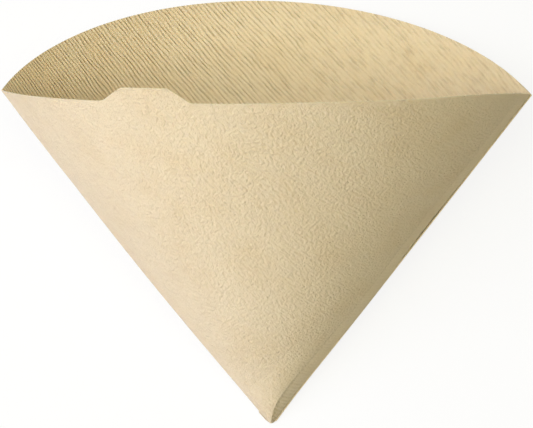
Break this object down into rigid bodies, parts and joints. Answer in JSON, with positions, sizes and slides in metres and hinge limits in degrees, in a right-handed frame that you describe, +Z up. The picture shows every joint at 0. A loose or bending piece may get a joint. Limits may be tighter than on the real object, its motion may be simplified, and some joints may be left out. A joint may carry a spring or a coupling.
{
  "type": "paper coffee filter",
  "caption": "Cone-shaped coffee filter folded from brown crepe paper, with a crimped side seam and a low tab on its rim, opened and lying on its side.",
  "frame": {"origin": "centre of the base of the object's box, on the floor that the filter lies on", "axes": "+Z up from the floor, +Y towards the mouth with the point towards -Y, +X towards the seam"},
  "size_m": [0.1444, 0.1212, 0.0934],
  "materials": {
    "paper": "matte, finely creped"
  },
  "bodies": {
    "root": {"filter_paper": "paper"}
  },
  "joints": []
}
